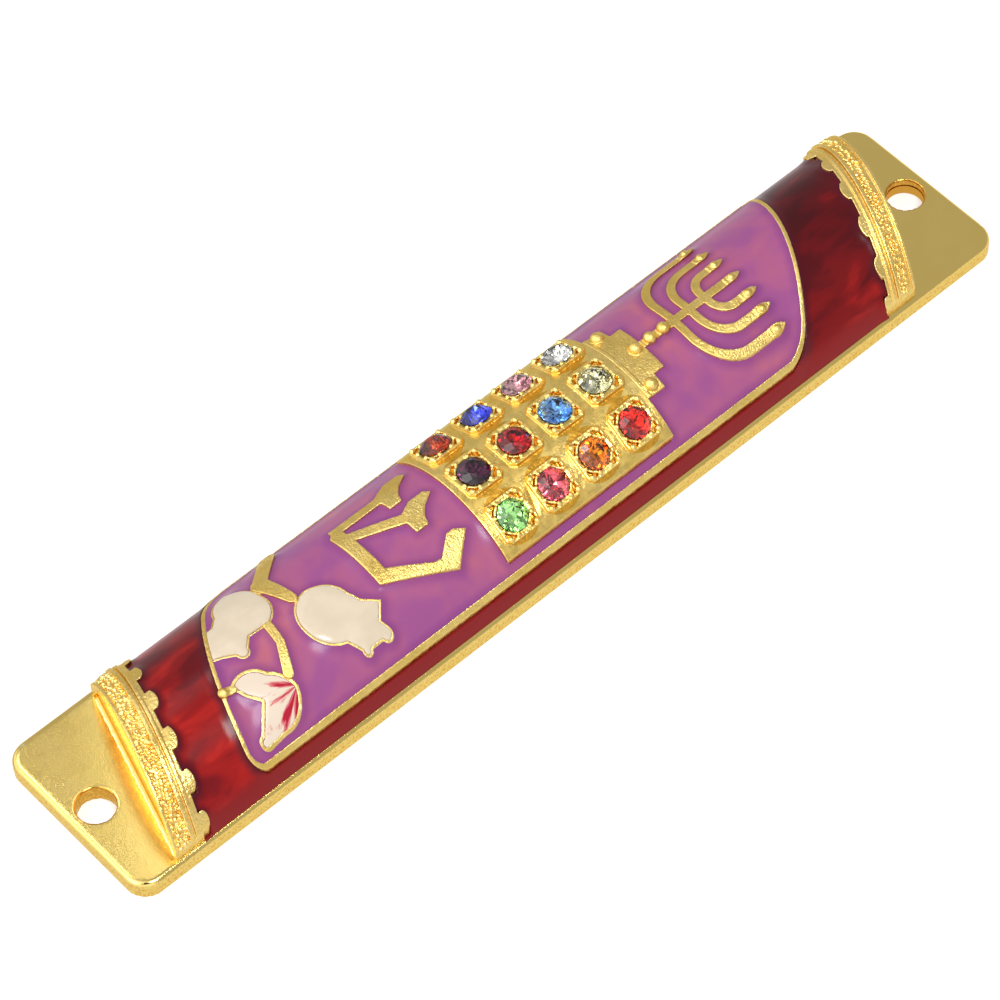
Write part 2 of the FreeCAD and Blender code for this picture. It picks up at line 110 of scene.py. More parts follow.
# Crown bands and their granules, in millimetres
CROWN_BANDS = [  # end, outward direction along X, seed, bed as distances from the outer edge, rows
    ("bottom", -1, 11, (0.45, 2.05), 3),
    ("top", 1, 23, (0.72, 1.95), 2),
]
RIM_DEPTH = 0.05  # points this close to a band's end count as its end
BAND_BED_HEIGHT = 0.34  # above the enamel
BAND_END_GAP = 0.15
GRANULE_PITCH = 0.52
GRANULE_RADII = (0.17, 0.29)
GRANULE_LIFTS = (-0.02, 0.14)
GRANULE_SHIFT = 0.3  # largest shift of a granule, as a share of its pitch
GRANULE_STRETCHES = (0.8, 1.3)

# Sandy sides of the main casting
SANDY_SLOPE = 0.75  # part of the normal along Z at which the sand ends
SANDY_TOP = 0.1 * MM  # height above the plate at which the sand ends

# Breastplate, in millimetres
CRUMBS_PER_STONE = 9
CRUMB_RADII = (0.12, 0.20)
CRUMB_DEPTHS = (0.50, 0.80)  # below the stone's girdle
CRUMB_SHIFT = 0.4  # largest shift of a crumb around its stone, as a share of the gap between two
CRUMB_REACHES = (1.04, 1.08)  # in girdle radii from the stone's middle
CRUMB_CORNER_REACH = 0.16  # added to the larger reach toward the corners of the frame
ROUGH_REACH = 3.2  # distance from a stone at which the roughness ends
ROUGH_FADE = 0.8
ROUGH_BETWEEN = 0.3  # share of the roughness that is left between the stones
# painted shade on the sunk gold near each stone: where it starts, how fast it deepens and how far it reaches
SUNK_SHADE_START = 0.30  # depth below the girdle at which the gold begins to look sunk
SUNK_SHADE_FADE = 0.25
SUNK_SHADE_REACH = 1.75  # in girdle radii from the stone's middle

# Enamel
ENAMEL_CELL = 0.13 * MM
ENAMEL_THICKNESS = 0.35 * MM
ENAMEL_EDGE_TURN = 0.002  # how far, in radians, the sheets run into the plate
SOFTENING_STEPS = 4
PROBE_START = 2 * MM  # rays that look for gold start this far above the enamel
PROBE_LENGTH = 2.2 * MM
GOLD_REACH = 3 * MM  # gold further from the enamel than this has no effect
FENCE_REACH = 2.5 * MM  # distance from gold at which the enamel's fence_distance is 1
RED_SEED_GAP = 1.5 * MM  # the red sheet is filled from points this far outside the panel
RED_SEED_TURN = math.radians(20)
RED_RISE = 0.18 * MM
RED_RISE_WIDTH = 1.2 * MM
PURPLE_RISE = 0.18 * MM
PURPLE_RISE_WIDTH = 1.5 * MM
FILLING_VOXEL = 0.09 * MM
FRUIT_DOME = 0.16 * MM
LEAF_DOME = 0.06 * MM
DOME_FALL = 0.6 * MM  # the domes flatten over this distance from gold

GOLD_NODES = ["crown_band_bottom", "crown_band_top", "panel_border", "breastplate", "lamp_foot",
              "seven_branch_lamp", "letter_shin", "pomegranate_sprig", "leaf_outline"]

STONE_COLOURS = {
    "stone_row1_column1": (0.60, 0.93, 0.46),
    "stone_row1_column2": (0.97, 0.27, 0.33),
    "stone_row1_column3": (0.98, 0.42, 0.01),
    "stone_row1_column4": (0.98, 0.07, 0.04),
    "stone_row2_column1": (0.20, 0.03, 0.13),
    "stone_row2_column2": (0.66, 0.01, 0.03),
    "stone_row2_column3": (0.32, 0.60, 0.98),
    "stone_row2_column4": (0.98, 0.96, 0.70),
    "stone_row3_column1": (0.72, 0.14, 0.03),
    "stone_row3_column2": (0.12, 0.17, 0.90),
    "stone_row3_column3": (1.00, 0.64, 0.68),
    "stone_row3_column4": (0.98, 0.98, 0.96),
}
STONE_DEPTH = 0.60  # below the girdle, as a share of the stone's radius
FOIL = 1  # material number of a stone's back


# ---------------------------------------------------------------- frame geometry
def barrel_from_frame():
    """Axis height and enamel radius of the barrel, from the outer enamel's box."""
    low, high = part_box("outer_enamel")
    half_width = high[1]
    rise = high[2] - low[2]
    radius = (half_width ** 2 + rise ** 2) / (2 * rise)
    return high[2] - radius, radius


AXIS_Z, ENAMEL_R = barrel_from_frame()
PLATE_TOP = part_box("outer_enamel")[0][2]


def on_barrel(x, angle, radius):
    """Point at a place along the barrel, an angle from its crest and a distance from its axis."""
    return Vector((x, radius * math.sin(angle), AXIS_Z + radius * math.cos(angle)))


def node_mesh(name):
    """A copy of a CAD node's mesh in the frame's own coordinates."""
    node = frame["nodes"][name]
    mesh = node.data.copy()
    mesh.transform(node.matrix_world)
    mesh.materials.clear()
    return mesh


def node_tree(names):
    """Search tree of the surfaces of several CAD nodes."""
    points = []
    faces = []
    for name in names:
        mesh = node_mesh(name)
        start = len(points)
        points += [tuple(vertex.co) for vertex in mesh.vertices]
        faces += [tuple(start + index for index in face.vertices) for face in mesh.polygons]
        bpy.data.meshes.remove(mesh)
    return BVHTree.FromPolygons(points, faces)


def stone_axes(node):
    """Girdle centre, outward direction and girdle radius of a stone in the frame."""
    mesh = node_mesh(node)
    points = [vertex.co.copy() for vertex in mesh.vertices]
    bpy.data.meshes.remove(mesh)
    middle = sum(points, Vector()) / len(points)
    normal = Vector((0.0, middle.y, middle.z - AXIS_Z)).normalized()
    reaches = []
    for point in points:
        offset = point - middle
        along = offset.dot(normal)
        reaches.append(((offset - normal * along).length, along))
    radius = max(reach for reach, _ in reaches)
    heights = [along for reach, along in reaches if reach > radius * 0.999]
    return middle + normal * (sum(heights) / len(heights)), normal, radius


STONE_AXES = {stone: stone_axes(stone) for stone in STONE_COLOURS}


def stone_directions(normal):
    """Directions along and across the barrel in the plane of a stone's girdle."""
    return Vector((1.0, 0.0, 0.0)), Vector((0.0, normal.z, -normal.y))


# ---------------------------------------------------------------- mesh helpers
def new_object(name, mesh):
    """An object in the scene that holds a mesh."""
    thing = bpy.data.objects.new(name, mesh)
    bpy.context.scene.collection.objects.link(thing)
    return thing


def bake_modifiers(thing):
    """Replaces an object's mesh with the result of its modifiers."""
    bpy.context.view_layer.update()
    graph = bpy.context.evaluated_depsgraph_get()
    result = bpy.data.meshes.new_from_object(thing.evaluated_get(graph))
    old = thing.data
    thing.modifiers.clear()
    thing.data = result
    bpy.data.meshes.remove(old)


def remesh(thing, voxel, smooth_steps):
    """Rebuilds an object as one skin with rounded edges."""
    grid = thing.modifiers.new("skin", "REMESH")
    grid.mode = "VOXEL"
    grid.voxel_size = voxel
    grid.use_smooth_shade = True
    soften = thing.modifiers.new("soften", "SMOOTH")
    soften.factor = 0.5
    soften.iterations = smooth_steps
    bake_modifiers(thing)


def roughen(thing, height, size, seed, amount=None):
    """Moves every point along its normal by seeded noise, like a cast skin."""
    shift = Vector((seed * 7.3, seed * 3.1, seed * 5.7))
    mesh = thing.data
    normals = [vertex.normal.copy() for vertex in mesh.vertices]
    for vertex, normal in zip(mesh.vertices, normals):
        share = 1.0 if amount is None else amount(vertex.co)
        if share > 0:
            place = vertex.co / size + shift
            value = noise.noise(place) + 0.5 * noise.noise(place * 2.1)
            vertex.co += normal * value * height * share
    mesh.update()


def point_attribute(mesh, name, values):
    """Gives each point of a mesh a number that materials can read."""
    layer = mesh.attributes.new(name, "FLOAT", "POINT")
    layer.data.foreach_set("value", values)


def smooth_shading(thing):
    for face in thing.data.polygons:
        face.use_smooth = True


def merged_mesh(name, meshes):
    """One mesh in place of several."""
    joined = bmesh.new()
    for mesh in meshes:
        joined.from_mesh(mesh)
        bpy.data.meshes.remove(mesh)
    result = bpy.data.meshes.new(name)
    joined.to_mesh(result)
    joined.free()
    return result


def balls_mesh(name, balls):
    """Small balls as one mesh; each ball is a centre, a radius and a stretch along X."""
    made = bmesh.new()
    for centre, radius, stretch in balls:
        matrix = Matrix.Translation(centre) @ Matrix.Diagonal((stretch, 1.0, 1.0, 1.0))
        bmesh.ops.create_icosphere(made, subdivisions=2, radius=radius, matrix=matrix)
    mesh = bpy.data.meshes.new(name)
    made.to_mesh(mesh)
    made.free()
    return mesh


def finish_piece(thing, body, slot, nodes, *materials):
    """Gives a piece its materials and body, and puts it in place of its CAD nodes. slot is not used."""
    for material in materials:
        thing.data.materials.append(material)
    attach(thing, body)
    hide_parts(*nodes)


def clamped(value):
    return max(0.0, min(1.0, value))


# ---------------------------------------------------------------- node materials
class Shader:
    """Short way to lay out and link the nodes of one material."""

    def __init__(self, name):
        self.material = bpy.data.materials.new(name)
        self.material.use_nodes = True
        self.nodes = self.material.node_tree.nodes
        self.links = self.material.node_tree.links
        self.surface = self.nodes["Principled BSDF"]

    def add(self, kind, **values):
        """A new node with the properties given."""
        node = self.nodes.new(kind)
        for key, value in values.items():
            setattr(node, key, value)
        return node

    def link(self, output, target):
        self.links.new(output, target)

    def feed(self, socket, value):
        """Links an output to a socket, or sets the socket to a fixed value."""
        if isinstance(value, bpy.types.NodeSocket):
            self.link(value, socket)
        else:
            socket.default_value = value

    def set(self, **values):
        """Fixed values on the surface shader's own sockets."""
        for key, value in values.items():
            self.surface.inputs[key.replace("_", " ")].default_value = value

    def paint(self, socket_name, output):
        """Links an output to a socket of the surface shader."""
        self.link(output, self.surface.inputs[socket_name])

    def place(self):
        """Coordinates in millimetres, fixed to the piece."""
        coordinates = self.add("ShaderNodeTexCoord")
        scale = self.add("ShaderNodeVectorMath", operation="SCALE")
        scale.inputs["Scale"].default_value = 1 / MM
        self.link(coordinates.outputs["Object"], scale.inputs[0])
        return scale.outputs[0]

    def stretched(self, place, angle, scale):
        """Coordinates turned about Z and scaled along each axis."""
        mapping = self.add("ShaderNodeMapping")
        mapping.inputs["Rotation"].default_value = (0.0, 0.0, angle)
        mapping.inputs["Scale"].default_value = scale
        self.link(place, mapping.inputs["Vector"])
        return mapping.outputs["Vector"]

    def vector(self, operation, first, second=None):
        """Vector maths on outputs or fixed vectors."""
        node = self.add("ShaderNodeVectorMath", operation=operation)
        self.feed(node.inputs[0], first)
        if second is not None:
            self.feed(node.inputs[1], second)
        return node.outputs["Value" if operation in ("LENGTH", "DOT_PRODUCT") else "Vector"]

    def maths(self, operation, first, second):
        """Maths on two outputs."""
        node = self.add("ShaderNodeMath", operation=operation)
        self.link(first, node.inputs[0])
        self.link(second, node.inputs[1])
        return node.outputs[0]

    def axis(self, place, name):
        """One coordinate of a place."""
        parts = self.add("ShaderNodeSeparateXYZ")
        self.link(place, parts.inputs[0])
        return parts.outputs[name]

    def spread(self, value, start, end, low=0.0, high=1.0):
        """Goes from low to high as a value goes from start to end, and no further."""
        node = self.add("ShaderNodeMapRange")
        self.link(value, node.inputs["Value"])
        for name, number in (("From Min", start), ("From Max", end), ("To Min", low), ("To Max", high)):
            node.inputs[name].default_value = number
        return node.outputs["Result"]

    def clouds(self, place, size, detail=3.0, roughness=0.55, distortion=0.0):
        """Noise between 0 and 1 whose features have the given size in millimetres."""
        texture = self.add("ShaderNodeTexNoise")
        texture.inputs["Scale"].default_value = 1.0 / size
        texture.inputs["Detail"].default_value = detail
        texture.inputs["Roughness"].default_value = roughness
        texture.inputs["Distortion"].default_value = distortion
        self.link(place, texture.inputs["Vector"])
        return texture.outputs["Fac"]

    def ramp(self, value, stops):
        """Colour or grey from a value, with smooth steps between the stops."""
        ramp = self.add("ShaderNodeValToRGB")
        ramp.color_ramp.interpolation = "EASE"
        elements = ramp.color_ramp.elements
        while len(elements) < len(stops):
            elements.new(0.5)
        for element, (position, colour) in zip(elements, stops):
            element.position = position
            if isinstance(colour, float):
                colour = (colour, colour, colour)
            element.color = (*colour, 1.0)
        self.link(value, ramp.inputs["Fac"])
        return ramp.outputs["Color"]

    def mix(self, factor, first, second):
        """Blend of two colours; either may be a fixed colour."""
        node = self.add("ShaderNodeMix", data_type="RGBA")
        for socket, value in ((node.inputs[6], first), (node.inputs[7], second)):
            self.feed(socket, (*value, 1.0) if isinstance(value, tuple) else value)
        self.link(factor, node.inputs[0])
        return node.outputs[2]

    def bump(self, height, distance, below=None):
        """Normals of a skin whose highest points stand the given distance out."""
        node = self.add("ShaderNodeBump")
        node.inputs["Strength"].default_value = 1.0
        node.inputs["Distance"].default_value = distance
        self.link(height, node.inputs["Height"])
        if below is not None:
            self.link(below, node.inputs["Normal"])
        return node.outputs["Normal"]

    def attribute(self, name):
        """A number that the mesh carries."""
        node = self.add("ShaderNodeAttribute", attribute_name=name)
        return node.outputs["Fac"]


def screw_hole_walls(shader, place):
    """1 on the walls of the two screw holes, 0 elsewhere."""
    mirrored = shader.vector("ABSOLUTE", place)
    offset = shader.vector("SUBTRACT", mirrored, (SCREW_HOLE_X, 0.0, 0.0))
    flat = shader.vector("MULTIPLY", offset, (1.0, 1.0, 0.0))
    fade_start, fade_end = SCREW_HOLE_FADE
    return shader.spread(shader.vector("LENGTH", flat), SCREW_HOLE_RADIUS + fade_start,
                         SCREW_HOLE_RADIUS + fade_end)


def gold_material(name, colour, shade, grain, gloss, crease=(0.72, 0.50, 0.25), side_grain=0.0,
                  with_holes=False, with_sunk_shade=False):
    """Gold plate over a cast skin: orange in creases, pale on raised edges, finely grained.

    The plate varies between colour and shade, and crease scales the shade in its creases into a painted
    shade. The pale raised edges are a painted highlight. grain is the size and depth of the fine grain,
    and gloss is the least and most roughness. side_grain is the depth of the sandy skin, where the
    mesh's "sandy" is 1, and the low parts of its sand carry painted shade.
    """
    shader = Shader(name)
    place = shader.place()
    grain_size, grain_depth = grain
    patches = shader.clouds(place, 5.0, detail=2.0)
    worn = shader.mix(shader.ramp(patches, [(0.35, 0.0), (0.65, 1.0)]), colour, shade)
    edges = shader.add("ShaderNodeNewGeometry").outputs["Pointiness"]
    # painted shade: hollow creases take a darker orange
    hollow = shader.ramp(edges, [(0.40, 1.0), (0.49, 0.0)])
    painted_crease_shade = tuple(share * channel for share, channel in zip(crease, shade))
    # painted highlight: raised edges take a paler gold
    raised = shader.ramp(edges, [(0.51, 0.0), (0.60, 1.0)])
    toned = shader.mix(raised, shader.mix(hollow, worn, painted_crease_shade), RAISED_EDGE_HIGHLIGHT)
    if with_holes:
        # painted shade on the walls of the screw holes
        toned = shader.mix(screw_hole_walls(shader, place), toned, SCREW_HOLE_PAINTED_SHADE)
    if with_sunk_shade:
        # painted shade in the sunk places around the stones
        toned = shader.mix(shader.attribute("sunk"), toned, SUNK_PAINTED_SHADE)
    coarse = shader.bump(shader.clouds(place, grain_size * 4, detail=2.0), grain_depth * 0.6 * MM)
    fine_grain = shader.clouds(place, grain_size, detail=3.0, roughness=0.6)
    skin = shader.bump(fine_grain, grain_depth * MM, below=coarse)
    if side_grain:
        sand = shader.clouds(place, 0.30, detail=3.0, roughness=0.65)
        # painted shade in the low parts of the sand
        low_sand = shader.ramp(sand, [(0.40, 1.0), (0.52, 0.0)])
        pits = shader.maths("MULTIPLY", low_sand, shader.attribute("sandy"))
        toned = shader.mix(pits, toned, SAND_PIT_SHADE)
        skin = shader.bump(sand, side_grain * MM, below=skin)
        shader.link(shader.attribute("sandy"), skin.node.inputs["Strength"])
    shader.paint("Base Color", toned)
    shader.paint("Normal", skin)
    smear = shader.clouds(place, 0.9, detail=4.0)
    low, high = gloss
    shader.paint("Roughness", shader.ramp(smear, [(0.35, low), (0.7, high)]))
    shader.set(Metallic=1.0, Specular_Tint=GRAZING_TINT)
    return shader.material


def enamel_material(name, colours, roughness=0.21, shine=0.20):
    """Glossy enamel whose colour is painted by the function given."""
    shader = Shader(name)
    place = shader.place()
    shader.paint("Base Color", colours(shader, place))
    shader.set(Roughness=roughness, IOR=1.5, Specular_IOR_Level=shine)
    shader.paint("Normal", shader.bump(shader.clouds(place, 4.5, detail=0.0), 0.03 * MM))
    return shader.material


def red_colours(shader, place):
    """Wine red, brighter toward the bottom end and the near side, darkest beside the gold."""
    streaks = shader.stretched(place, math.radians(-12), (0.45, 1.0, 1.0))
    mottle = shader.clouds(streaks, 3.6, detail=3.0, roughness=0.50, distortion=0.4)
    # painted shade: the red is darker toward the top end and the far side
    length_x, length_y = RED_SHADE_LENGTHS
    toward_shade = shader.vector("DOT_PRODUCT", place, (0.5 / length_x, 0.5 / length_y, 0.0))
    lively = shader.ramp(mottle, [(0.36, (0.140, 0.004, 0.007)), (0.50, (0.260, 0.007, 0.007)),
                                  (0.64, (0.400, 0.014, 0.010))])
    dark = shader.ramp(mottle, [(0.38, (0.045, 0.002, 0.004)), (0.52, (0.072, 0.002, 0.004)),
                                (0.68, (0.170, 0.004, 0.005))])
    body = shader.mix(shader.spread(toward_shade, *RED_SHADE_RANGE), lively, dark)
    # painted shade: the red darkens beside the gold
    fence_shade = shader.ramp(shader.attribute("fence_distance"), [(0.0, 0.95), (0.42, 0.0)])
    shaded = shader.mix(fence_shade, body, (0.060, 0.002, 0.008))
    low_edge = shader.spread(shader.axis(place, "Y"), *RED_LOW_EDGE)
    return shader.mix(low_edge, shaded, (0.185, 0.005, 0.006))


def purple_colours(shader, place):
    """Soft rosy purple with faint clouds, deeper beside the gold."""
    clouds = shader.clouds(place, 6.0, detail=2.0, distortion=0.3)
    body = shader.ramp(clouds, [(0.34, (0.262, 0.068, 0.202)), (0.52, (0.312, 0.082, 0.186)),
                                (0.72, (0.378, 0.102, 0.155))])
    # painted shade: the purple darkens beside the gold
    fence_shade = shader.ramp(shader.attribute("fence_distance"), [(0.0, 0.62), (0.46, 0.0)])
    return shader.mix(fence_shade, body, (0.175, 0.034, 0.170))


def cream_colours(shader, place):
    """Warm white with faint clouds."""
    clouds = shader.clouds(place, 2.5, detail=3.0)
    return shader.ramp(clouds, [(0.3, (0.54, 0.453, 0.333)), (0.7, (0.59, 0.498, 0.377))])


def leaf_colours(shader, place):
    """Cream with crimson streaks that run out from the leaf's apex."""
    from_apex = shader.vector("SUBTRACT", LEAF_APEX, place)
    angle = shader.maths("ARCTAN2", shader.axis(from_apex, "Y"), shader.axis(from_apex, "X"))
    reach = shader.vector("LENGTH", from_apex)
    fan = shader.add("ShaderNodeCombineXYZ")
    shader.link(angle, fan.inputs["X"])
    shader.link(reach, fan.inputs["Y"])
    fan_place = shader.stretched(fan.outputs[0], 0.0, (4.2, 0.40, 1.0))
    streaks = shader.clouds(fan_place, 1.0, detail=3.0, roughness=0.6)
    fading = shader.spread(reach, 0.0, LEAF_STREAK_REACH, 0.30, -0.20)
    amount = shader.maths("ADD", streaks, fading)
    return shader.ramp(amount, [(0.46, (0.62, 0.52, 0.42)), (0.54, (0.55, 0.16, 0.16)),
                                (0.62, (0.36, 0.010, 0.03))])


def stone_glass(name, colour):
    """Clear tinted glass for the front of a stone."""
    shader = Shader(name)
    tone = shader.clouds(shader.place(), 1.2, detail=1.0)
    deep = tuple(channel * 0.8 for channel in colour)
    shader.paint("Base Color", shader.mix(shader.ramp(tone, [(0.3, 0.0), (0.7, 1.0)]), colour, deep))
    shader.set(Roughness=0.0, IOR=1.62, Transmission_Weight=1.0)
    return shader.material


def stone_foil(name, colour):
    """Tinted mirror backing behind a stone; each facet has its own brightness."""
    shader = Shader(name)
    # painted reflection: each facet of the back runs from dark to light by its own random tone
    light = tuple(0.55 + 0.45 * channel for channel in colour)
    middle = tuple(0.2 + 0.8 * channel for channel in colour)
    dark = tuple(0.16 * channel for channel in colour)
    painted_facet_reflection = shader.attribute("painted_facet_reflection")
    smudge = shader.clouds(shader.place(), 0.5, detail=2.0)
    shader.paint("Base Color", shader.ramp(painted_facet_reflection, [(0.0, dark), (0.5, middle), (1.0, light)]))
    shader.paint("Roughness", shader.ramp(smudge, [(0.35, 0.03), (0.65, 0.12)]))
    shader.set(Metallic=1.0)
    return shader.material


def parchment_material():
    """Matt skin with fine fibres along the scroll."""
    shader = Shader("parchment")
    fibre = shader.clouds(shader.stretched(shader.place(), 0.0, (0.3, 1.0, 1.0)), 0.5, detail=5.0)
    shader.paint("Base Color", shader.ramp(fibre, [(0.3, (0.62, 0.50, 0.31)), (0.7, (0.80, 0.70, 0.50))]))
    shader.paint("Normal", shader.bump(fibre, 0.03 * MM))
    shader.set(Roughness=0.75, Sheen_Weight=0.2)
    return shader.material


def brushed_gold(name):
    """Satin strip with fine lines along its length."""
    shader = Shader(name)
    place = shader.place()
    lines = shader.clouds(shader.stretched(place, 0.0, (0.02, 1.0, 1.0)), 0.12, detail=3.0)
    tone = shader.clouds(place, 6.0, detail=3.0)
    satin = shader.ramp(tone, [(0.3, (0.72, 0.50, 0.17)), (0.7, (0.82, 0.60, 0.23))])
    # painted shade on the walls of the screw holes
    shader.paint("Base Color", shader.mix(screw_hole_walls(shader, place), satin, SCREW_HOLE_PAINTED_SHADE))
    shader.paint("Roughness", shader.ramp(lines, [(0.3, 0.28), (0.7, 0.42)]))
    shader.paint("Normal", shader.bump(lines, 0.02 * MM))
    shader.set(Metallic=1.0, Specular_Tint=GRAZING_TINT)
    return shader.material


# ---------------------------------------------------------------- cast gold
def cast_piece(name, node, voxel, smooth_steps, material, slot="gilded_relief", grain=0.0,
               grain_size=0.35, seed=1, extra=None, amount=None):
    """Gold piece from a CAD node, with the soft edges and skin of a casting.

    The voxel and the skin's grain are in millimetres. extra is a mesh that is cast with the
    node, and amount is the share of the grain at a point.
    """
    meshes = [node_mesh(node)]
    if extra is not None:
        meshes.append(extra)
    piece = new_object(name, merged_mesh(name, meshes))
    remesh(piece, voxel * MM, smooth_steps)
    if grain > 0:
        roughen(piece, grain * MM, grain_size * MM, seed, amount)
    smooth_shading(piece)
    finish_piece(piece, CASE, slot, [node], material)
    return piece


def front_piece(material):
    """The main casting: smooth on its ears, sandy on its sides."""
    piece = cast_piece("case_front", "front_casting", 0.17, 2, material, slot="gilded_casting")
    sandy = []
    for vertex in piece.data.vertices:
        upright = 1.0 - min(1.0, abs(vertex.normal.z) / SANDY_SLOPE)
        sandy.append(upright if vertex.co.z < PLATE_TOP + SANDY_TOP else 0.0)
    point_attribute(piece.data, "sandy", sandy)


def band_edge(node, outward):
    """Straight line x = centre + slant * y along the outer edge of a crown band."""
    mesh = node_mesh(node)
    points = np.array([vertex.co for vertex in mesh.vertices])
    bpy.data.meshes.remove(mesh)
    ends = []
    for side in (-1, 1):
        reach = points[:, 1] * side
        rim = points[reach > reach.max() - RIM_DEPTH * MM]
        ends.append(rim[np.argmax(rim[:, 0] * outward)])
    slant = (ends[1][0] - ends[0][0]) / (ends[1][1] - ends[0][1])
    return ends[0][0] - slant * ends[0][1], slant


def band_granules(node, outward, seed, bed, rows):
    """Irregular granules that fill the bed between the rim and the ridge."""
    chance = random.Random(seed)
    centre, slant = band_edge(node, outward)
    bed_start, bed_end = (edge * MM for edge in bed)
    surface = ENAMEL_R + BAND_BED_HEIGHT * MM
    half_angle = math.asin((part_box(node)[1][1] - BAND_END_GAP * MM) / surface)
    around = int(2 * half_angle * surface / (GRANULE_PITCH * MM))
    balls = []
    for row in range(rows):
        for step in range(around):
            along_row = step + 0.5 * (row % 2) + chance.uniform(-GRANULE_SHIFT, GRANULE_SHIFT)
            across_rows = row + 0.5 + chance.uniform(-GRANULE_SHIFT, GRANULE_SHIFT)
            angle = -half_angle + along_row / around * 2 * half_angle
            inward = bed_start + across_rows / rows * (bed_end - bed_start)
            radius = chance.uniform(*GRANULE_RADII) * MM
            lift = chance.uniform(*GRANULE_LIFTS) * MM
            y = surface * math.sin(angle)
            x = centre + slant * y - outward * inward
            balls.append((on_barrel(x, angle, surface + lift), radius, chance.uniform(*GRANULE_STRETCHES)))
    return balls_mesh("granules", balls)


def setting_crumbs(seed):
    """Small uneven grains around each stone, between its cup and its frame."""
    chance = random.Random(seed)
    balls = []
    for centre, normal, girdle_radius in STONE_AXES.values():
        along, across = stone_directions(normal)
        for step in range(CRUMBS_PER_STONE):
            turn = math.pi * 2 * (step + chance.uniform(-CRUMB_SHIFT, CRUMB_SHIFT)) / CRUMBS_PER_STONE
            square = 1 / max(abs(math.cos(turn)), abs(math.sin(turn)))
            furthest = CRUMB_REACHES[1] + CRUMB_CORNER_REACH * (square - 1.0)
            reach = girdle_radius * chance.uniform(CRUMB_REACHES[0], furthest)
            place = centre + along * reach * math.cos(turn) + across * reach * math.sin(turn)
            sunk = chance.uniform(*CRUMB_DEPTHS) * MM
            radius = chance.uniform(*CRUMB_RADII) * MM
            balls.append((place - normal * sunk, radius, chance.uniform(*GRANULE_STRETCHES)))
    return balls_mesh("setting_crumbs", balls)


def beside_stones(place):
    """How rough the breastplate is at a point: rough beside the stones, smooth between."""
    gap = min((place - centre).length for centre, _, _ in STONE_AXES.values()) / MM
    return ROUGH_BETWEEN + (1.0 - ROUGH_BETWEEN) * clamped((ROUGH_REACH - gap) / ROUGH_FADE)


def breastplate_piece(material):
    """The breastplate with its frames, cups and grains, and how far each point is sunk."""
    piece = cast_piece("stone_setting", "breastplate", 0.065, 1, material, grain=0.024, grain_size=0.34,
                       seed=7, extra=setting_crumbs(31), amount=beside_stones)
    # how far each point is sunk sets the painted shade in the material
    sunk = []
    for vertex in piece.data.vertices:
        nearest = min(STONE_AXES.values(), key=lambda axis: (vertex.co - axis[0]).length)
        centre, normal, girdle_radius = nearest
        offset = vertex.co - centre
        height = offset.dot(normal)
        beside = (offset - normal * height).length < SUNK_SHADE_REACH * girdle_radius
        depth = (-SUNK_SHADE_START * MM - height) / (SUNK_SHADE_FADE * MM)
        sunk.append(clamped(depth) if beside else 0.0)
    point_attribute(piece.data, "sunk", sunk)


# ---------------------------------------------------------------- enamel sheets
def fill_region(open_cells, seed_cell):
    """All open cells joined to the seed, by flood filling."""
    filled = np.zeros_like(open_cells)
    stack = [seed_cell]
    while stack:
        i, j = stack.pop()
        if i < 0 or j < 0 or i >= open_cells.shape[0] or j >= open_cells.shape[1]:
            continue
        if filled[i, j] or not open_cells[i, j]:
            continue
        filled[i, j] = True
        stack += [(i + 1, j), (i - 1, j), (i, j + 1), (i, j - 1)]
    return filled


def widened(cells, steps):
    """The region grown by a number of cells on every side."""
    for _ in range(steps):
        grown = cells.copy()
        grown[1:, :] |= cells[:-1, :]
        grown[:-1, :] |= cells[1:, :]
        grown[:, 1:] |= cells[:, :-1]
        grown[:, :-1] |= cells[:, 1:]
        cells = grown
    return cells


def softened(values):
    """The values averaged with their neighbours a few times."""
    for _ in range(SOFTENING_STEPS):
        padded = np.pad(values, 1, mode="edge")
        sides = padded[2:, 1:-1] + padded[:-2, 1:-1] + padded[1:-1, 2:] + padded[1:-1, :-2]
        values = (values + sides) / 5
    return values


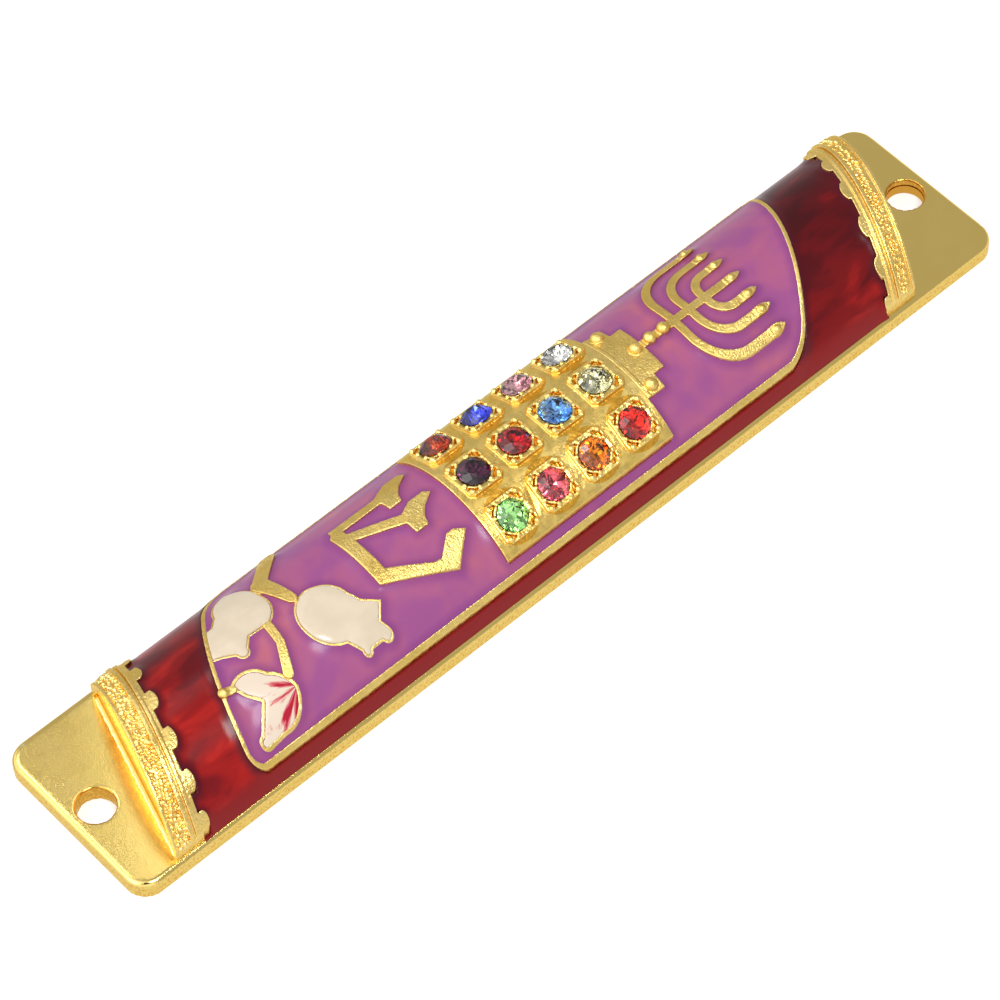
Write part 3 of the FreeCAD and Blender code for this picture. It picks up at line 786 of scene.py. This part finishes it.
class EnamelGrid:
    """Grid over the barrel that knows where gold stands and how far it is."""

    def __init__(self, cell):
        self.low, self.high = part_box("outer_enamel")
        self.count_x = int((self.high[0] - self.low[0]) / cell)
        self.half_angle = math.acos((PLATE_TOP - AXIS_Z) / ENAMEL_R) + ENAMEL_EDGE_TURN
        self.count_y = int(2 * self.half_angle * ENAMEL_R / cell)
        self.xs = np.linspace(self.low[0], self.high[0], self.count_x + 1)
        self.angles = np.linspace(-self.half_angle, self.half_angle, self.count_y + 1)
        self.barrier = self.cells_under(["panel_border", "crown_band_bottom", "crown_band_top"])
        self.covered = self.cells_under(["breastplate", *STONE_COLOURS])
        self.distance = softened(self.distances(GOLD_NODES))

    def cells_under(self, names):
        """Cells whose middle has one of these nodes straight above it."""
        tree = node_tree(names)
        under = np.zeros((self.count_x, self.count_y), dtype=bool)
        for j in range(self.count_y):
            angle = (self.angles[j] + self.angles[j + 1]) / 2
            inward = Vector((0.0, -math.sin(angle), -math.cos(angle)))
            for i in range(self.count_x):
                x = (self.xs[i] + self.xs[i + 1]) / 2
                start = on_barrel(x, angle, ENAMEL_R + PROBE_START)
                hit = tree.ray_cast(start, inward, PROBE_LENGTH)
                under[i, j] = hit[0] is not None
        return under

    def distances(self, names):
        """Distance from each grid point to the nearest gold surface."""
        tree = node_tree(names)
        found = np.full((self.count_x + 1, self.count_y + 1), GOLD_REACH)
        for j, angle in enumerate(self.angles):
            for i, x in enumerate(self.xs):
                hit = tree.find_nearest(on_barrel(x, angle, ENAMEL_R), GOLD_REACH)
                if hit[0] is not None:
                    found[i, j] = hit[3]
        return found

    def cell_at(self, x, angle):
        i = int((x - self.low[0]) / (self.high[0] - self.low[0]) * self.count_x)
        j = int((angle + self.half_angle) / (2 * self.half_angle) * self.count_y)
        return i, j

    def sheet(self, name, seeds, rise, rise_width):
        """Closed enamel sheet over the region around the seeds, risen where it meets gold."""
        region = np.zeros_like(self.barrier)
        for x, angle in seeds:
            region |= fill_region(~self.barrier, self.cell_at(x, angle))
        region = widened(region, 1) & widened(~self.covered, 2)
        lift = rise * np.clip(1 - self.distance / rise_width, 0, 1) ** 2
        numbers = {}
        points = []
        fence = []
        faces = []

        def corner(i, j):
            """Number of the sheet's point at a grid corner, made when first asked for."""
            if (i, j) not in numbers:
                numbers[(i, j)] = len(points)
                points.append(on_barrel(self.xs[i], self.angles[j], ENAMEL_R + lift[i, j]))
                fence.append(self.distance[i, j] / FENCE_REACH)
            return numbers[(i, j)]

        for i, j in np.argwhere(region):
            faces.append((corner(i, j), corner(i + 1, j), corner(i + 1, j + 1), corner(i, j + 1)))
        mesh = bpy.data.meshes.new(name)
        mesh.from_pydata(points, [], faces)
        mesh.update()
        point_attribute(mesh, "fence_distance", fence)
        sheet = new_object(name, mesh)
        body = sheet.modifiers.new("body", "SOLIDIFY")
        body.thickness = ENAMEL_THICKNESS
        body.offset = -1.0
        bake_modifiers(sheet)
        smooth_shading(sheet)
        return sheet


def domed_filling(name, node, dome, material, slot):
    """Enamel of one fruit or leaf, remeshed and swollen a little toward its middle."""
    piece = new_object(name, node_mesh(node))
    remesh(piece, FILLING_VOXEL, 4)
    tree = node_tree(["pomegranate_sprig", "leaf_outline"])
    for vertex in piece.data.vertices:
        outward = Vector((0.0, vertex.co.y, vertex.co.z - AXIS_Z))
        if outward.length < ENAMEL_R:
            continue
        hit = tree.find_nearest(vertex.co, GOLD_REACH)
        distance = hit[3] if hit[0] is not None else GOLD_REACH
        vertex.co += outward.normalized() * dome * (1 - math.exp(-distance / DOME_FALL))
    piece.data.update()
    smooth_shading(piece)
    finish_piece(piece, CASE, slot, [node], material)


# ---------------------------------------------------------------- stones
def facet_ring(made, radius, chance, reach, height, count, offset=0.0, uneven=0.0):
    """Corners around a stone at one reach and height, both as shares of its radius."""
    points = []
    for step in range(count):
        turn = 2 * math.pi * (step + offset) / count
        lift = height + chance.uniform(-uneven, uneven)
        points.append(made.verts.new((radius * reach * math.cos(turn), radius * reach * math.sin(turn),
                                      radius * lift)))
    return points


def cut_stone(radius, chance):
    """Round stone: a glass crown over a foiled back whose facets are slightly uneven."""
    made = bmesh.new()
    culet = made.verts.new((0.0, 0.0, -STONE_DEPTH * radius))
    inner = facet_ring(made, radius, chance, reach=0.26, height=-0.53, count=8, uneven=0.05)
    lower = facet_ring(made, radius, chance, reach=0.58, height=-0.36, count=8, offset=0.5, uneven=0.05)
    low = facet_ring(made, radius, chance, reach=1.0, height=-0.05, count=16)
    girdle = facet_ring(made, radius, chance, reach=1.0, height=0.03, count=16)
    kites = facet_ring(made, radius, chance, reach=0.78, height=0.25, count=8, offset=0.5, uneven=0.02)
    table = facet_ring(made, radius, chance, reach=0.50, height=0.41, count=8)
    crown = [table]
    back = []
    for step in range(16):
        after = (step + 1) % 16
        crown.append((girdle[step], low[step], low[after], girdle[after]))
    for step in range(8):
        after = (step + 1) % 8
        first = 2 * step
        middle = first + 1
        last = (first + 2) % 16
        crown.append((table[step], kites[step], table[after]))
        crown.append((table[after], kites[step], girdle[last]))
        crown.append((table[after], girdle[last], kites[after]))
        crown.append((kites[step], girdle[first], girdle[middle]))
        crown.append((kites[step], girdle[middle], girdle[last]))
        back.append((low[first], lower[step], low[middle]))
        back.append((low[middle], lower[step], low[last]))
        back.append((lower[step], inner[after], low[last]))
        back.append((low[last], inner[after], lower[after]))
        back.append((lower[step], inner[step], inner[after]))
        back.append((inner[step], culet, inner[after]))
    for corners in crown:
        made.faces.new(corners)
    for corners in back:
        made.faces.new(corners).material_index = FOIL
    bmesh.ops.recalc_face_normals(made, faces=made.faces)
    mesh = bpy.data.meshes.new("cut_stone")
    made.to_mesh(mesh)
    made.free()
    # painted reflection: a random brightness for each facet
    painted_reflections = mesh.attributes.new("painted_facet_reflection", "FLOAT", "FACE")
    painted_reflections.data.foreach_set("value", [chance.random() for _ in mesh.polygons])
    return mesh


def record_slot(node):
    """Material slot that the record gives a CAD node."""
    return next(part["material_slot"] for part in frame["record"]["subparts"] if part["node"] == node)


def make_stones():
    """One cut stone in each setting, turned at random."""
    chance = random.Random(12)
    for node, colour in STONE_COLOURS.items():
        centre, normal, radius = STONE_AXES[node]
        turn = chance.uniform(0, math.pi / 4)
        mesh = cut_stone(radius, chance)
        axes = Matrix((*stone_directions(normal), normal)).transposed().to_4x4()
        mesh.transform(Matrix.Translation(centre) @ axes @ Matrix.Rotation(turn, 4, "Z"))
        finish_piece(new_object(node + "_cut", mesh), CASE, record_slot(node), [node],
                     stone_glass(node + "_glass", colour), stone_foil(node + "_foil", colour))


# ---------------------------------------------------------------- assembling the looks
def make_gold():
    """All gilded pieces; the voxels and grains are in millimetres."""
    smooth_gold = gold_material("gold_plate", (0.91, 0.67, 0.21), (0.89, 0.65, 0.19),
                                grain=(0.13, 0.011), gloss=(0.07, 0.11), crease=(1.0, 1.0, 1.0),
                                side_grain=0.13, with_holes=True)
    cast_gold = gold_material("gold_cast", (0.88, 0.65, 0.21), (0.80, 0.56, 0.15),
                              grain=(0.22, 0.060), gloss=(0.30, 0.44))
    plaque_gold = gold_material("gold_plaque", (0.95, 0.71, 0.23), (0.91, 0.64, 0.17),
                                grain=(0.16, 0.024), gloss=(0.24, 0.40), with_sunk_shade=True)
    sand_gold = gold_material("gold_sand", (0.95, 0.70, 0.24), (0.88, 0.62, 0.18),
                              grain=(0.14, 0.026), gloss=(0.22, 0.36))
    front_piece(smooth_gold)
    for end, outward, seed, bed, rows in CROWN_BANDS:
        node = "crown_band_" + end
        granules = band_granules(node, outward, seed, bed, rows)
        cast_piece("crown_" + end, node, 0.065, 2, sand_gold, grain=0.022, grain_size=0.30,
                   seed=seed, extra=granules)
    cast_piece("border_line", "panel_border", 0.075, 3, cast_gold, grain=0.018, grain_size=0.45, seed=5)
    breastplate_piece(plaque_gold)
    cast_piece("stepped_foot", "lamp_foot", 0.06, 3, cast_gold, grain=0.012, seed=8)
    cast_piece("lamp", "seven_branch_lamp", 0.06, 4, cast_gold, grain=0.014, grain_size=0.26, seed=9)
    cast_piece("letter", "letter_shin", 0.07, 9, cast_gold, grain=0.016, grain_size=0.26, seed=10)
    cast_piece("sprig", "pomegranate_sprig", 0.06, 3, cast_gold, grain=0.016, grain_size=0.28, seed=13)
    cast_piece("leaf_rim", "leaf_outline", 0.05, 3, cast_gold, grain=0.018, seed=14)


def make_enamels():
    """The red and purple sheets, and the fillings of the fruits and the leaf."""
    grid = EnamelGrid(ENAMEL_CELL)
    panel_low, panel_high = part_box("panel_border")
    lamp_low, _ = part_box("seven_branch_lamp")
    red_seeds = [(panel_low[0] - RED_SEED_GAP, -RED_SEED_TURN), (panel_high[0] + RED_SEED_GAP, RED_SEED_TURN)]
    red = grid.sheet("red_field", red_seeds, RED_RISE, RED_RISE_WIDTH)
    finish_piece(red, CASE, "red_enamel", ["outer_enamel"], enamel_material("red_enamel", red_colours))
    purple_seeds = [((panel_high[0] + lamp_low[0]) / 2, 0.0)]
    purple = grid.sheet("purple_field", purple_seeds, PURPLE_RISE, PURPLE_RISE_WIDTH)
    finish_piece(purple, CASE, "purple_enamel", ["panel_enamel"],
                 enamel_material("purple_enamel", purple_colours))
    cream = enamel_material("cream_enamel", cream_colours, roughness=0.12, shine=0.4)
    domed_filling("left_fruit", "left_pomegranate_enamel", FRUIT_DOME, cream, "cream_enamel")
    domed_filling("right_fruit", "right_pomegranate_enamel", FRUIT_DOME, cream, "cream_enamel")
    domed_filling("leaf_fill", "leaf_enamel", LEAF_DOME, enamel_material("leaf_enamel", leaf_colours),
                  "leaf_enamel")


def make_inside():
    """The cover and the scroll keep their CAD shapes."""
    for node, material in (("rear_cover", brushed_gold("gold_strip")),
                           ("parchment_scroll", parchment_material())):
        materials = frame["nodes"][node].data.materials
        materials.clear()
        materials.append(material)


# ---------------------------------------------------------------- floor, light and camera
def camera_back():
    """Direction from the case to the camera."""
    azimuth = math.radians(CAMERA_AZIMUTH)
    elevation = math.radians(CAMERA_ELEVATION)
    return Vector((math.sin(azimuth) * math.cos(elevation), -math.cos(azimuth) * math.cos(elevation),
                   math.sin(elevation)))


def make_floor():
    """Pale paper; mirrors see the surround's own lower half in its place."""
    bpy.ops.mesh.primitive_plane_add(size=FLOOR_SIZE, location=(0.0, 0.0, -FLOOR_DROP))
    floor = bpy.context.object
    floor.name = "floor"
    shader = Shader("floor_paper")
    tone = shader.clouds(shader.place(), 60.0, detail=2.0)
    dark_grey, light_grey = FLOOR_GREYS
    shader.paint("Base Color", shader.ramp(tone, [(0.3, dark_grey), (0.7, light_grey)]))
    shader.set(Roughness=1.0, Specular_IOR_Level=0.0, Emission_Color=(1.0, 1.0, 1.0, 1.0),
               Emission_Strength=FLOOR_GLOW)
    floor.data.materials.append(shader.material)
    floor.visible_glossy = False


def make_light(name, place, size, radiance, turn=None):
    """Soft panel that faces the case, or faces straight down when it is turned about Z."""
    data = bpy.data.lights.new(name, "AREA")
    data.shape = "RECTANGLE"
    data.size, data.size_y = size
    data.energy = radiance * math.pi * size[0] * size[1]
    lamp = bpy.data.objects.new(name, data)
    bpy.context.scene.collection.objects.link(lamp)
    lamp.location = place
    if turn is None:
        lamp.rotation_euler = (-lamp.location).to_track_quat("-Z", "Y").to_euler()
    else:
        lamp.rotation_euler = (0.0, 0.0, turn)


def make_lights():
    """The main panel, and three whose reflections shape the gold at the bottom end."""
    make_light("key_panel", place=(-0.030, -0.315, 0.625), size=(0.20, 0.20), radiance=20.0)
    make_light("wall_panel", place=(-0.046, 0.155, 0.25), size=(0.06, 0.06), radiance=4.5)
    make_light("ear_panel", place=(-0.0125, 0.0473, 0.10), size=(0.018, 0.05), radiance=1.45,
               turn=math.radians(-30.7))
    make_light("end_panel", place=(-0.526, 0.070, 0.456), size=(0.50, 0.50), radiance=1.8)


def make_world():
    """Studio surround: bright toward the bottom end, dim toward the top end, dark at the camera."""
    world = bpy.data.worlds.new("studio")
    bpy.context.scene.world = world
    world.use_nodes = True
    nodes = world.node_tree.nodes
    links = world.node_tree.links
    direction = nodes.new("ShaderNodeTexCoord").outputs["Generated"]

    def along(vector, low, high):
        """0 to 1 as the view direction turns from low to high along a vector."""
        dot = nodes.new("ShaderNodeVectorMath")
        dot.operation = "DOT_PRODUCT"
        links.new(direction, dot.inputs[0])
        dot.inputs[1].default_value = vector
        spread = nodes.new("ShaderNodeMapRange")
        spread.interpolation_type = "SMOOTHSTEP"
        spread.inputs["From Min"].default_value = low
        spread.inputs["From Max"].default_value = high
        links.new(dot.outputs["Value"], spread.inputs["Value"])
        return spread.outputs["Result"]

    def blend(factor, first, second):
        """Mix of two radiances, each a number or an output."""
        mix = nodes.new("ShaderNodeMix")
        mix.data_type = "RGBA"
        links.new(factor, mix.inputs[0])
        for socket, value in ((mix.inputs[6], first), (mix.inputs[7], second)):
            if isinstance(value, float):
                socket.default_value = (value, value, value, 1.0)
            else:
                links.new(value, socket)
        return mix.outputs[2]

    above = blend(along((1.0, 0.0, 0.0), *WORLD_SIDE_RANGE), WORLD_BRIGHT, WORLD_DIM)
    below = blend(along((0.0, 1.0, 0.0), *WORLD_FAR_RANGE), WORLD_BELOW_NEAR, WORLD_BELOW_FAR)
    whole = blend(along((0.0, 0.0, 1.0), *WORLD_HORIZON_RANGE), below, above)
    seen = blend(along(camera_back(), *WORLD_CAMERA_RANGE), whole, WORLD_CAMERA)
    links.new(seen, nodes["Background"].inputs["Color"])
    nodes["Background"].inputs["Strength"].default_value = 1.0


def make_camera():
    """Long lens above the bottom end and the near side."""
    back = camera_back()
    data = bpy.data.cameras.new("camera")
    data.lens = CAMERA_LENS
    data.sensor_width = CAMERA_SENSOR
    data.shift_x, data.shift_y = CAMERA_SHIFT
    data.clip_start = 0.01
    camera = bpy.data.objects.new("camera", data)
    bpy.context.scene.collection.objects.link(camera)
    right = Vector((0.0, 0.0, 1.0)).cross(back).normalized()
    up = back.cross(right)
    turn = Matrix.Rotation(math.radians(CAMERA_ROLL), 3, back)
    axes = Matrix((turn @ right, turn @ up, back)).transposed()
    camera.matrix_world = Matrix.Translation(CAMERA_TARGET + back * CAMERA_DISTANCE) @ axes.to_4x4()
    bpy.context.scene.camera = camera


make_gold()
make_enamels()
make_stones()
make_inside()
make_floor()
make_world()
make_lights()
make_camera()
bpy.context.scene.view_settings.view_transform = "Standard"
